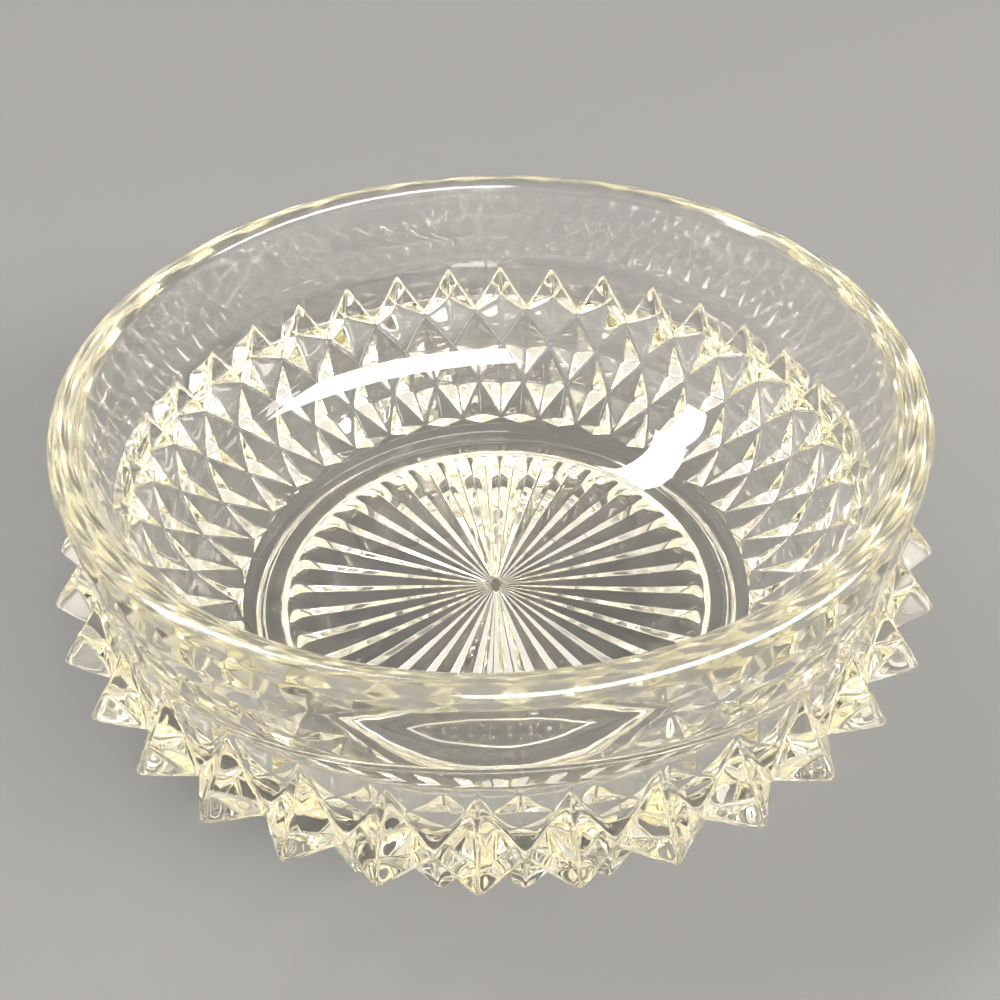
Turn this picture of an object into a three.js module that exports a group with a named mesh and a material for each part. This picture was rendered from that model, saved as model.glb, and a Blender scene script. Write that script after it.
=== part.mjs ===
// Round dish of clear pressed glass, standing on a foot ring.
// Outside: a plain rim band over rows of pointed diamonds, half a pitch apart from row to row.
// Underside: a sunburst of V-shaped rays inside the foot ring. Inside: smooth.
// The whole dish is one piece of glass. Millimetres, +Z up, origin at the middle of the foot's plane.

import * as THREE from 'three';
import { mergeVertices } from 'three/addons/utils/BufferGeometryUtils.js';

// Overall sizes
const RIM_RADIUS = 63.5;
const HEIGHT = 53;

// The pattern repeats this often round the dish, and each repeat is two columns wide.
// An even column runs through the diamonds of rows A and C, an odd one through rows B and D.
const REPEATS = 36;
const COLUMNS = 2 * REPEATS;

// Rim
const LIP_RADIUS = 2.3;
const LIP_CENTRE = { radius: RIM_RADIUS - LIP_RADIUS, height: HEIGHT - LIP_RADIUS };
const LIP_STEPS = 8;

// Inside: a flat floor, a bend and a nearly straight wall up to the lip
const FLOOR_HEIGHT = 6.4;
const FLOOR_RADIUS = 24;
const BEND_PULL = { radius: 44.5, height: 6.9 };
const WALL_PULL = { radius: 55.2, height: 15 };
const WALL_START = { radius: 56.4, height: 27 };
const BEND_STEPS = 8;

// Nodes where the grooves between the diamonds cross, from the band down to the foot
const NODES = [
  { radius: 62.8, height: 34 },
  { radius: 64.9, height: 23 },
  { radius: 61, height: 15.8 },
  { radius: 54.7, height: 9.3 },
  { radius: 46.2, height: 5.3 },
];

// Points of the diamonds, rows A to D
const TIPS = [
  { radius: 70.4, height: 24.2 },
  { radius: 63.5, height: 13.2 },
  { radius: 57, height: 7 },
  { radius: 49, height: 3.9 },
];

// Under the lowest diamonds a narrow land slopes down to the foot ring, and the dish stands on the ring
const LAND_OUTER = { radius: 45.5, height: 4 };
const LAND_INNER = { radius: 43, height: 2.5 };
const FOOT_OUTER_RADIUS = 42.4;
const FOOT_OUTER_EDGE = 0.9;
const FOOT_INNER_RADIUS = 38.2;
const FOOT_INNER_EDGE = 1.1;
const FOOT_EDGE_STEPS = 3;

// Sunburst on the underside
const RAY_RING = { radius: 36.8, height: 1.3 };
const RAY_END_RADIUS = 35.4;
const HUB_RADIUS = 2.4;
const RAY_MEAN_HEIGHT = 2;
const RAY_HALF_DEPTH = 1.3;

const vector = ({ radius, height }) => new THREE.Vector2(radius, height);

// A ring has one point for each column
function plainRing({ radius, height }) {
  return Array.from({ length: COLUMNS }, () => ({ radius, height }));
}

function ringsAlong(curve, steps) {
  return curve.getPoints(steps).map(({ x, y }) => plainRing({ radius: x, height: y }));
}

// Rays reach down in the even columns, and the grooves between them go up in the odd ones
function rayRing(radius) {
  const depth = (RAY_HALF_DEPTH * radius) / RAY_END_RADIUS;
  return plainRing({ radius, height: RAY_MEAN_HEIGHT }).map((place, column) => ({
    radius: place.radius,
    height: place.height + (column % 2 ? depth : -depth),
  }));
}

// The rings of the smooth glass, from the edge of the flat floor up the inside, over the lip and down the band
function smoothRings() {
  const bend = new THREE.CubicBezierCurve(
    vector({ radius: FLOOR_RADIUS, height: FLOOR_HEIGHT }),
    vector(BEND_PULL),
    vector(WALL_PULL),
    vector(WALL_START),
  );
  const lip = new THREE.ArcCurve(
    LIP_CENTRE.radius, LIP_CENTRE.height, LIP_RADIUS, Math.PI, 0, true,
  );
  return [...ringsAlong(bend, BEND_STEPS), ...ringsAlong(lip, LIP_STEPS), plainRing(NODES[0])];
}

// The rings of the underside, from the land round the two edges of the foot ring and in to the hub
function undersideRings() {
  const outerCentre = FOOT_OUTER_RADIUS - FOOT_OUTER_EDGE;
  const outerEdge = new THREE.ArcCurve(
    outerCentre, FOOT_OUTER_EDGE, FOOT_OUTER_EDGE, 0, -Math.PI / 2, true,
  );
  const innerCentre = FOOT_INNER_RADIUS + FOOT_INNER_EDGE;
  const innerEdge = new THREE.ArcCurve(
    innerCentre, FOOT_INNER_EDGE, FOOT_INNER_EDGE, -Math.PI / 2, -Math.PI, true,
  );
  return [
    plainRing(LAND_OUTER),
    plainRing(LAND_INNER),
    ...ringsAlong(outerEdge, FOOT_EDGE_STEPS),
    ...ringsAlong(innerEdge, FOOT_EDGE_STEPS),
    plainRing(RAY_RING),
    rayRing(RAY_END_RADIUS),
    rayRing(HUB_RADIUS),
  ];
}

// Collects the triangles of one closed skin. Each corner is a column with a radius and a height.
class Skin {
  constructor() {
    this.positions = [];
  }

  triangle(...corners) {
    for (const [column, { radius, height }] of corners) {
      const azimuth = ((column + COLUMNS) % COLUMNS) * ((2 * Math.PI) / COLUMNS);
      this.positions.push(radius * Math.sin(azimuth), radius * Math.cos(azimuth), height);
    }
  }

  // Joins each ring to the next one
  bands(rings) {
    for (let index = 1; index < rings.length; index += 1) {
      const [first, second] = [rings[index - 1], rings[index]];
      for (let column = 0; column < COLUMNS; column += 1) {
        const next = (column + 1) % COLUMNS;
        const [a, b] = [[column, first[column]], [next, first[next]]];
        const [c, d] = [[column, second[column]], [next, second[next]]];
        // The diagonal starts in the even column, so that the two flanks of a ray match
        const split = column % 2 ? [[a, b, c], [b, d, c]] : [[a, b, d], [a, d, c]];
        split.forEach((corners) => this.triangle(...corners));
      }
    }
  }

  // Closes a ring with a fan to its middle, facing up or down
  disc(rim, height, facesUp) {
    for (let column = 0; column < COLUMNS; column += 1) {
      const next = (column + 1) % COLUMNS;
      const edge = [[column, rim[column]], [next, rim[next]]];
      this.triangle(...(facesUp ? edge.reverse() : edge), [0, { radius: 0, height }]);
    }
  }

  // Four facets from the corners of a diamond's base up to its point
  diamond(column, above, beside, below, tip) {
    const corners = [
      [column, above],
      [column + 1, beside],
      [column, below],
      [column - 1, beside],
    ];
    corners.forEach((corner, index) => {
      this.triangle(corner, corners[(index + 1) % corners.length], [column, tip]);
    });
  }

  geometry() {
    const skin = new THREE.BufferGeometry();
    skin.setAttribute('position', new THREE.Float32BufferAttribute(this.positions, 3));
    return mergeVertices(skin);
  }
}

function bowlGeometry() {
  const skin = new Skin();
  const smooth = smoothRings();
  skin.disc(smooth[0], FLOOR_HEIGHT, true);
  skin.bands(smooth);

  // Between the tops of row A the band runs on down to a point
  for (let column = 1; column < COLUMNS; column += 2) {
    const low = [column, NODES[1]];
    const middle = [column, NODES[0]];
    skin.triangle([column - 1, NODES[0]], middle, low);
    skin.triangle(middle, [column + 1, NODES[0]], low);
  }

  // Each row starts one node below the row above it, and half a pitch round from it
  const levels = [...NODES, LAND_OUTER];
  TIPS.forEach((tip, row) => {
    for (let column = row % 2; column < COLUMNS; column += 2) {
      skin.diamond(column, levels[row], levels[row + 1], levels[row + 2], tip);
    }
  });

  // Between the diamonds of row D the land runs up to the lowest nodes
  for (let column = 0; column < COLUMNS; column += 2) {
    const high = [column, NODES[4]];
    const middle = [column, LAND_OUTER];
    skin.triangle(high, [column + 1, LAND_OUTER], middle);
    skin.triangle(high, middle, [column - 1, LAND_OUTER]);
  }

  const underside = undersideRings();
  skin.bands(underside);
  skin.disc(underside.at(-1), RAY_MEAN_HEIGHT, false);
  return skin.geometry();
}

const clearGlass = new THREE.MeshStandardMaterial({
  color: 0xf2f0e3,
  roughness: 0.04,
  metalness: 0,
  transparent: true,
  opacity: 0.35,
});

const glassBowl = new THREE.Mesh(bowlGeometry(), clearGlass);
glassBowl.name = 'glass_bowl';

const dish = new THREE.Group();
dish.add(glassBowl);

export default dish;
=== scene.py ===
import math

import bmesh
import bpy
import numpy as np
from mathutils import Matrix, Vector


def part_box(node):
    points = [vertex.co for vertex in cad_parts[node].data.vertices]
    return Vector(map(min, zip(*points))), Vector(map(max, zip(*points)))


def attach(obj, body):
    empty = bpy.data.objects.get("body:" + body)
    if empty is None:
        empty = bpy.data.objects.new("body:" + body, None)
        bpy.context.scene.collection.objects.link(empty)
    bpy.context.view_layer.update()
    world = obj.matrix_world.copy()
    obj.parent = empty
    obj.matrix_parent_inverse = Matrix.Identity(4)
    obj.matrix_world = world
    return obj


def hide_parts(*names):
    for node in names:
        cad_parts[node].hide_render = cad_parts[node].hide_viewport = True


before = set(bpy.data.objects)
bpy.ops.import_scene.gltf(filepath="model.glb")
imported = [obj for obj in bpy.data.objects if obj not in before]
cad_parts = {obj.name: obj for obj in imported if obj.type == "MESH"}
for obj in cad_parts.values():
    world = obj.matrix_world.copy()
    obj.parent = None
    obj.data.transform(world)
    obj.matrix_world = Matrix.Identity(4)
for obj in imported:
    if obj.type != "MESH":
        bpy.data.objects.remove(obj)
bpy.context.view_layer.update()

# The dish, in the design's millimetres. MM turns them into the frame's metres.
HEIGHT = 53.0
RIM_RADIUS = 63.5
LOWEST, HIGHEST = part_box("glass_bowl")
MM = (HIGHEST.z - LOWEST.z) / HEIGHT

# The pattern repeats this often round the dish, and each repeat is two columns wide.
# An even column runs through the diamonds of rows A and C, an odd one through rows B and D.
REPEATS = 36
COLUMNS = 2 * REPEATS

# Places are (radius, height) from here on.
# Inside, the dish has a flat floor, a bend and a nearly straight wall up to a round lip.
LIP_RADIUS = 2.3
LIP_CENTRE = (RIM_RADIUS - LIP_RADIUS, HEIGHT - LIP_RADIUS)
FLOOR_RADIUS, FLOOR_HEIGHT = 24.0, 6.4
BEND_PULL = (44.5, 6.9)
WALL_PULL = (55.2, 15.0)
WALL_START = (56.4, 27.0)
# The nodes are where the grooves between the diamonds cross, and the tips are the points of rows A to D.
NODES = [(62.8, 34.0), (64.9, 23.0), (61.0, 15.8), (54.7, 9.3), (46.2, 5.3)]
TIPS = [(70.4, 24.2), (63.5, 13.2), (57.0, 7.0), (49.0, 3.9)]
# Under the lowest diamonds a narrow land slopes down to the foot ring, with the sunburst inside the ring.
LAND_OUTER, LAND_INNER = (45.5, 4.0), (43.0, 2.5)
FOOT_OUTER_RADIUS, FOOT_OUTER_EDGE = 42.4, 0.9
FOOT_INNER_RADIUS, FOOT_INNER_EDGE = 38.2, 1.1
RAY_RING, RAY_END_RADIUS, HUB_RADIUS = (36.8, 1.3), 35.4, 2.4
RAY_MEAN_HEIGHT, RAY_HALF_DEPTH = 2.0, 1.3
# The mould's two halves meet in a faint step round the band, and the band coves out between the diamonds.
PARTING_HEIGHT, PARTING_STEP = 36.0, 0.12
COVE_DEPTH = 0.5

# How finely the glass is meshed: each facet's edge is STEPS faces long, and they crowd towards its corners.
STEPS = 10
CROWDING = 1.5
INSIDE_FLOOR_STEPS, INSIDE_BEND_STEPS, INSIDE_WALL_STEPS = 4, 20, 6
LIP_STEPS, BAND_STEPS, BAND_FOOT_STEPS = 14, 4, 2
LAND_STEPS, LAND_EDGE_STEPS, FOOT_FLAT_STEPS = 3, 2, 3
FOOT_OUTER_STEPS, FOOT_INNER_STEPS, RAY_RING_STEPS = 7, 5, 2
RAY_RINGS = 12
# The first ring of the inside floor, round its middle point
MIDDLE_RING = (1.0, FLOOR_HEIGHT)

# How far the sharp edges and the points of the diamonds are rounded off
SOFTENING_PASSES = 6
SOFTENING = 0.5
EDGE_SOFTNESS = 0.3
BLUNT_FROM = 0.85

# Places nearer than this are the same place, in millimetres along a section and in metres on the mesh.
SAME_PLACE, SAME_POINT = 1e-6, 1e-7

# The glass. Its skin's waves and smears are in metres, and the rubbed top of the lip is in millimetres.
GLASS_IOR = 1.52
WAVE_LENGTH, WAVE_HEIGHT, WAVE_DETAIL = 0.009, 0.00003, 1.5
SMEAR_SIZE, SMEAR_DETAIL = 0.014, 6.0
SMEAR_FROM, SMEAR_TO, SMEAR_ROUGHNESS = 0.5, 0.8, 0.05
RUB_DEPTH, RUB_ROUGHNESS = 4.0, 0.14
DEPTH_COLOUR, DEPTH_DENSITY = (0.96, 0.94, 0.83, 1), 28.0
# Light goes back and forth inside the facets many times before it comes out again.
BOUNCES = 24

# The stage, in metres
FLOOR_SIZE, FLOOR_COLOUR = 60.0, (0.132, 0.135, 0.14, 1)
FLOOR_ROUGHNESS, FLOOR_SHINE = 0.9, 0.1

# The viewpoint: a short lens close to the dish, looking down into it. Angles are in radians.
LENS, SENSOR = 38.14, 36.0
NEAREST_SEEN = 0.001
ELEVATION = 0.7236
ROLL = -0.0238
DISTANCE = 2.094 * RIM_RADIUS
AIM = (0.0175 * RIM_RADIUS, -0.5122 * RIM_RADIUS)
TURN = 0.0371

# Each light's name, its two ends as (azimuth, elevation, distance), width, radiance and colour.
# Azimuth and elevation are in degrees, distance and width in metres.
# The two left windows meet end to end, so that they make one bent streak on the inside of the bowl.
LIGHTS = [
    ("window_right", (92, 12, 5.6), (186, 38, 4.0), 1.2, 22.0, (1.0, 0.95, 0.87)),
    ("window_left", (-98, 31, 3.4), (-72, 57, 3.8), 0.42, 22.0, (1.0, 0.95, 0.88)),
    ("window_left_top", (-74, 57, 3.8), (-12, 56, 8.5), 0.5, 22.0, (1.0, 0.95, 0.88)),
    ("near_wall", (150, 14, 3.6), (210, 14, 3.6), 1.6, 0.8, (1.0, 0.93, 0.78)),
]
# The room is dim at the horizon and reaches its full strength at this sine of the elevation.
ROOM_COLOUR = (1.0, 0.955, 0.865, 1)
ROOM_DIM, ROOM_BRIGHT, ROOM_RISE = 0.25, 0.95, 0.45


def crowded(share):
    """Shares along a facet's edge, moved towards its corners."""
    near, far = share**CROWDING, (1 - share) ** CROWDING
    return near / (near + far)


def arc(centre, radius, start, end, steps):
    """Places round an arc of the section, at angles in degrees from the outward direction."""
    angles = np.radians(np.linspace(start, end, steps + 1))
    return [(centre[0] + radius * math.cos(a), centre[1] + radius * math.sin(a)) for a in angles]


def line(start, end, steps):
    """Places along a straight line of the section."""
    return [tuple(p) for p in np.linspace(start, end, steps + 1)]


def bend(points, steps):
    """Places along a cubic Bezier curve."""
    a, b, c, d = (np.array(p) for p in points)
    return [
        tuple((1 - t) ** 3 * a + 3 * (1 - t) ** 2 * t * b + 3 * (1 - t) * t * t * c + t**3 * d)
        for t in np.linspace(0, 1, steps + 1)
    ]


def joined(*runs):
    """One run of places from several, each starting where the last one ended or a step on."""
    places = []
    for run in runs:
        for place in run:
            if not places or math.dist(places[-1], place) > SAME_PLACE:
                places.append(tuple(place))
    return places


class Skin:
    """The faces of one closed skin, in columns, radii and heights. Doubles are merged at the end."""

    def __init__(self):
        self.points, self.faces, self.soft, self.count = [], [], [], 0

    def add(self, points, faces, soft):
        self.points.append(points)
        self.faces.extend((np.array(faces) + self.count).tolist())
        self.soft.append(np.broadcast_to(soft, len(points)))
        self.count += len(points)

    def sheet(self, rows, soft=0):
        """rows is (places, columns, 3), closed round the dish."""
        tall, wide = rows.shape[:2]
        index = np.arange(tall * wide).reshape(tall, wide)
        here, below = index[:-1], index[1:]
        faces = np.stack([here, np.roll(here, -1, 1), np.roll(below, -1, 1), below], -1)
        self.add(rows.reshape(-1, 3), faces.reshape(-1, 4), soft)

    def facet(self, a, b, c, pointed=None):
        """A triangular facet with corners (column, radius, height), in STEPS * STEPS small faces.

        If the last corner is the point of a diamond, pointed is the middle of the diamond's base. The point
        is blunted towards it, and the cove dies out towards the point.
        """
        weights, index = [], {}
        for i in range(STEPS + 1):
            for j in range(STEPS + 1 - i):
                index[i, j] = len(weights)
                share = np.array([STEPS - i - j, i, j]) / STEPS
                weights.append(share**CROWDING)
        weights = np.array(weights)
        weights /= weights.sum(1, keepdims=True)
        faces = []
        for i in range(STEPS):
            for j in range(STEPS - i):
                faces.append([index[i, j], index[i + 1, j], index[i, j + 1]])
                if i + j < STEPS - 1:
                    faces.append([index[i + 1, j], index[i + 1, j + 1], index[i, j + 1]])
        places = weights @ np.array([a, b, c], float)
        if pointed is not None:
            places -= blunting(weights[:, 2:]) * (np.array(c) - pointed)
        towards_point = weights[:, 2] * (pointed is not None)
        places[:, 1] -= cove(places[:, 2]) * (1 - towards_point)
        self.add(places, faces, EDGE_SOFTNESS)


def blunting(share):
    """How much of a diamond's height its blunt point loses, at shares of the way up to a sharp one."""
    past = np.clip((share - BLUNT_FROM) / (1 - BLUNT_FROM), 0, None)
    return past**2 * (1 - BLUNT_FROM) / 2


def cove(heights):
    """How far the glass between the tops of row A lies inside a straight line down to the next node."""
    share = np.clip((NODES[0][1] - heights) / (NODES[0][1] - NODES[1][1]), 0, 1)
    return 4 * COVE_DEPTH * share * (1 - share)


def fine_columns():
    """The columns all round the dish, with the steps between them."""
    share = crowded(np.arange(STEPS) / STEPS)
    return (np.arange(COLUMNS)[:, None] + share).ravel()


def plain_rows(places):
    """Rings of a surface of revolution through the places."""
    columns = fine_columns()
    places = np.array(places)
    rows = np.empty((len(places), len(columns), 3))
    rows[..., 0] = columns
    rows[..., 1] = places[:, :1]
    rows[..., 2] = places[:, 1:]
    return rows


def middle_row(height):
    """A ring that has shrunk to the dish's axis."""
    return np.tile((0.0, 0.0, height), (COLUMNS * STEPS, 1))


def ray_rows(radii):
    """Rings of the sunburst: rays reach down in the even columns, grooves go up in the odd ones."""
    columns = fine_columns()
    zigzag = 1 - 2 * np.abs((columns % 2) - 1)
    rows = plain_rows([(r, RAY_MEAN_HEIGHT) for r in radii])
    depth = RAY_HALF_DEPTH * np.array(radii) / RAY_END_RADIUS
    rows[..., 2] += depth[:, None] * zigzag
    return rows


def smooth_places():
    """The section of the smooth glass, from the inside floor over the lip and down the band."""
    floor_edge = (FLOOR_RADIUS, FLOOR_HEIGHT)
    inside = bend([floor_edge, BEND_PULL, WALL_PULL, WALL_START], INSIDE_BEND_STEPS)
    lip = arc(LIP_CENTRE, LIP_RADIUS, 180, 0, LIP_STEPS)
    wall = line(inside[-1], lip[0], INSIDE_WALL_STEPS)
    floor = line(MIDDLE_RING, inside[0], INSIDE_FLOOR_STEPS)
    below_step = (NODES[0][0], PARTING_HEIGHT - PARTING_STEP)
    above_step = (NODES[0][0] + PARTING_STEP, PARTING_HEIGHT + PARTING_STEP)
    above = line(lip[-1], above_step, BAND_STEPS)
    below = line(below_step, NODES[0], BAND_FOOT_STEPS)
    return joined(floor, inside, wall, lip, above, below)


def foot_places():
    """The section of the underside, from the land round the foot ring to the ring of the sunburst."""
    outer_centre = (FOOT_OUTER_RADIUS - FOOT_OUTER_EDGE, FOOT_OUTER_EDGE)
    inner_centre = (FOOT_INNER_RADIUS + FOOT_INNER_EDGE, FOOT_INNER_EDGE)
    outer = arc(outer_centre, FOOT_OUTER_EDGE, 0, -90, FOOT_OUTER_STEPS)
    inner = arc(inner_centre, FOOT_INNER_EDGE, -90, -180, FOOT_INNER_STEPS)
    return joined(
        line(LAND_OUTER, LAND_INNER, LAND_STEPS),
        line(LAND_INNER, outer[0], LAND_EDGE_STEPS),
        outer,
        line(outer[-1], inner[0], FOOT_FLAT_STEPS),
        inner,
        line(inner[-1], RAY_RING, RAY_RING_STEPS),
    )


def bowl_skin():
    """The whole closed skin of the dish."""
    skin = Skin()
    smooth = smooth_places()
    skin.sheet(plain_rows(smooth))
    skin.sheet(np.stack([middle_row(FLOOR_HEIGHT), plain_rows(smooth[:1])[0]]))

    # Between the tops of row A the band runs on down to a point.
    for column in range(1, COLUMNS, 2):
        top = (column, *NODES[0])
        low = (column, *NODES[1])
        skin.facet((column - 1, *NODES[0]), top, low)
        skin.facet(top, (column + 1, *NODES[0]), low)

    # Each row starts one node below the row above it, and half a pitch round from it.
    levels = [*NODES, LAND_OUTER]
    for row, tip in enumerate(TIPS):
        for column in range(row % 2, COLUMNS, 2):
            corners = [
                (column, *levels[row]),
                (column + 1, *levels[row + 1]),
                (column, *levels[row + 2]),
                (column - 1, *levels[row + 1]),
            ]
            base = np.mean(corners, 0)
            for first, second in zip(corners, corners[1:] + corners[:1]):
                skin.facet(first, second, (column, *tip), base)

    # Between the diamonds of row D the land runs up to the lowest nodes.
    for column in range(0, COLUMNS, 2):
        high = (column, *NODES[-1])
        middle = (column, *LAND_OUTER)
        skin.facet(high, (column + 1, *LAND_OUTER), middle)
        skin.facet(high, middle, (column - 1, *LAND_OUTER))

    foot = foot_places()
    skin.sheet(plain_rows(foot), EDGE_SOFTNESS)
    rays = ray_rows(np.linspace(RAY_END_RADIUS, HUB_RADIUS, RAY_RINGS))
    skin.sheet(np.concatenate([plain_rows(foot[-1:]), rays]), EDGE_SOFTNESS)
    skin.sheet(np.stack([rays[-1], middle_row(RAY_MEAN_HEIGHT)]), EDGE_SOFTNESS)
    return skin


def softened(points, edges, soft):
    """Rounds the sharp edges a little, as fire-polished pressed glass has them."""
    first, second = edges.T
    neighbours = np.bincount(edges.ravel(), minlength=len(points))[:, None]
    for _ in range(SOFTENING_PASSES):
        total = np.zeros_like(points)
        np.add.at(total, first, points[second])
        np.add.at(total, second, points[first])
        points = points + SOFTENING * soft[:, None] * (total / neighbours - points)
    return points


def bowl_object():
    """The dish as one mesh: the skin's doubles are merged, and then its edges are softened."""
    skin = bowl_skin()
    points = np.concatenate(skin.points)
    azimuth = points[:, 0] * (2 * math.pi / COLUMNS)
    radius, height = points[:, 1] * MM, points[:, 2] * MM
    places = np.stack([radius * np.sin(azimuth), radius * np.cos(azimuth), height], -1)

    mesh = bpy.data.meshes.new("glass_bowl_fine")
    mesh.from_pydata(places.tolist(), [], skin.faces)
    soft = mesh.attributes.new("soft", "FLOAT", "POINT")
    soft.data.foreach_set("value", np.concatenate(skin.soft))
    bm = bmesh.new()
    bm.from_mesh(mesh)
    bmesh.ops.remove_doubles(bm, verts=bm.verts, dist=SAME_POINT)
    bmesh.ops.dissolve_degenerate(bm, dist=SAME_POINT, edges=bm.edges)
    bm.to_mesh(mesh)
    bm.free()

    places = np.zeros(len(mesh.vertices) * 3)
    mesh.vertices.foreach_get("co", places)
    weight = np.zeros(len(mesh.vertices))
    mesh.attributes["soft"].data.foreach_get("value", weight)
    edges = np.zeros(len(mesh.edges) * 2, int)
    mesh.edges.foreach_get("vertices", edges)
    places = softened(places.reshape(-1, 3), edges.reshape(-1, 2), weight)
    mesh.vertices.foreach_set("co", places.ravel())
    mesh.attributes.remove(mesh.attributes["soft"])
    mesh.shade_smooth()
    mesh.update()
    bowl = bpy.data.objects.new("glass_bowl_fine", mesh)
    bpy.context.scene.collection.objects.link(bowl)
    return bowl


def glass_material():
    """Clear pressed glass with a warm depth, a slightly wavy skin, a few smears and a rubbed lip."""
    glass = bpy.data.materials.new("clear_glass")
    glass.use_nodes = True
    tree = glass.node_tree
    shader = tree.nodes["Principled BSDF"]
    shader.inputs["Base Color"].default_value = (1, 1, 1, 1)
    shader.inputs["Transmission Weight"].default_value = 1
    shader.inputs["IOR"].default_value = GLASS_IOR

    place = tree.nodes.new("ShaderNodeTexCoord")
    waves = tree.nodes.new("ShaderNodeTexNoise")
    waves.inputs["Scale"].default_value = 1 / WAVE_LENGTH
    waves.inputs["Detail"].default_value = WAVE_DETAIL
    bump = tree.nodes.new("ShaderNodeBump")
    bump.inputs["Distance"].default_value = WAVE_HEIGHT
    tree.links.new(place.outputs["Object"], waves.inputs["Vector"])
    tree.links.new(waves.outputs["Fac"], bump.inputs["Height"])
    tree.links.new(bump.outputs["Normal"], shader.inputs["Normal"])

    smears = tree.nodes.new("ShaderNodeTexNoise")
    smears.inputs["Scale"].default_value = 1 / SMEAR_SIZE
    smears.inputs["Detail"].default_value = SMEAR_DETAIL
    smeared = tree.nodes.new("ShaderNodeMapRange")
    smeared.inputs["From Min"].default_value = SMEAR_FROM
    smeared.inputs["From Max"].default_value = SMEAR_TO
    smeared.inputs["To Max"].default_value = SMEAR_ROUGHNESS
    tree.links.new(place.outputs["Object"], smears.inputs["Vector"])
    tree.links.new(smears.outputs["Fac"], smeared.inputs["Value"])

    axes = tree.nodes.new("ShaderNodeSeparateXYZ")
    rubbed = tree.nodes.new("ShaderNodeMapRange")
    rubbed.inputs["From Min"].default_value = (HEIGHT - RUB_DEPTH) * MM
    rubbed.inputs["From Max"].default_value = HEIGHT * MM
    rubbed.inputs["To Max"].default_value = RUB_ROUGHNESS
    total = tree.nodes.new("ShaderNodeMath")
    total.operation = "ADD"
    tree.links.new(place.outputs["Object"], axes.inputs["Vector"])
    tree.links.new(axes.outputs["Z"], rubbed.inputs["Value"])
    tree.links.new(smeared.outputs["Result"], total.inputs[0])
    tree.links.new(rubbed.outputs["Result"], total.inputs[1])
    tree.links.new(total.outputs["Value"], shader.inputs["Roughness"])

    depth = tree.nodes.new("ShaderNodeVolumeAbsorption")
    depth.inputs["Color"].default_value = DEPTH_COLOUR
    depth.inputs["Density"].default_value = DEPTH_DENSITY
    tree.links.new(depth.outputs["Volume"], tree.nodes["Material Output"].inputs["Volume"])
    return glass


def add_floor():
    """A plain pale floor that reaches to the horizon."""
    bpy.ops.mesh.primitive_plane_add(size=FLOOR_SIZE)
    floor = bpy.context.object
    floor.name = "floor"
    pale = bpy.data.materials.new("pale_floor")
    pale.use_nodes = True
    shader = pale.node_tree.nodes["Principled BSDF"]
    shader.inputs["Base Color"].default_value = FLOOR_COLOUR
    shader.inputs["Roughness"].default_value = FLOOR_ROUGHNESS
    shader.inputs["Specular IOR Level"].default_value = FLOOR_SHINE
    floor.data.materials.append(pale)


def direction(azimuth, elevation):
    """The unit direction at angles in degrees, with azimuth from +Y towards +X."""
    around, up = math.radians(azimuth), math.radians(elevation)
    return Vector((math.sin(around) * math.cos(up), math.cos(around) * math.cos(up), math.sin(up)))


def softbox(name, start, end, width, radiance, colour):
    """A long soft light that faces the dish, with ends at two (azimuth, elevation, distance) places."""
    first, last = (direction(*place[:2]) * place[2] for place in (start, end))
    centre = (first + last) / 2
    along = (last - first).normalized()
    back = (centre - centre.project(along)).normalized()
    data = bpy.data.lights.new(name, "AREA")
    data.shape = "RECTANGLE"
    data.size, data.size_y = (last - first).length, width
    data.energy = radiance * math.pi * data.size * data.size_y
    data.color = colour
    light = bpy.data.objects.new(name, data)
    light.location = centre
    light.rotation_euler = Matrix((along, back.cross(along), back)).transposed().to_euler()
    light.visible_camera = False
    bpy.context.scene.collection.objects.link(light)


def add_world():
    """An even room that gets lighter towards the ceiling."""
    world = bpy.data.worlds.new("room")
    world.use_nodes = True
    tree = world.node_tree
    background = tree.nodes["Background"]
    background.inputs["Color"].default_value = ROOM_COLOUR
    place = tree.nodes.new("ShaderNodeTexCoord")
    axes = tree.nodes.new("ShaderNodeSeparateXYZ")
    ramp = tree.nodes.new("ShaderNodeMapRange")
    ramp.interpolation_type = "SMOOTHSTEP"
    ramp.inputs["From Min"].default_value = 0.0
    ramp.inputs["From Max"].default_value = ROOM_RISE
    ramp.inputs["To Min"].default_value = ROOM_DIM
    ramp.inputs["To Max"].default_value = ROOM_BRIGHT
    tree.links.new(place.outputs["Generated"], axes.inputs["Vector"])
    tree.links.new(axes.outputs["Z"], ramp.inputs["Value"])
    tree.links.new(ramp.outputs["Result"], background.inputs["Strength"])
    bpy.context.scene.world = world


def add_camera():
    """A camera on the near side, turned so that a diamond of row A stands just right of the far middle."""
    data = bpy.data.cameras.new("camera")
    data.lens, data.sensor_width = LENS, SENSOR
    data.clip_start = NEAREST_SEEN
    camera = bpy.data.objects.new("camera", data)
    away = Vector((0, math.cos(ELEVATION), -math.sin(ELEVATION)))
    aim = Vector((*AIM, HEIGHT))
    turn = Matrix.Rotation(TURN, 3, "Z")
    camera.location = turn @ (aim - away * DISTANCE) * MM
    facing = (turn @ away).to_track_quat("-Z", "Y")
    camera.rotation_euler = (facing.to_matrix() @ Matrix.Rotation(ROLL, 3, "Z")).to_euler()
    bpy.context.scene.collection.objects.link(camera)
    bpy.context.scene.camera = camera


bowl = bowl_object()
bowl.data.materials.append(glass_material())
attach(bowl, "root")
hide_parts("glass_bowl")
add_floor()
add_world()
for light in LIGHTS:
    softbox(*light)
scene = bpy.context.scene
scene.cycles.max_bounces = BOUNCES
scene.cycles.transmission_bounces = BOUNCES
scene.cycles.glossy_bounces = BOUNCES
scene.view_settings.view_transform = "Standard"
add_camera()
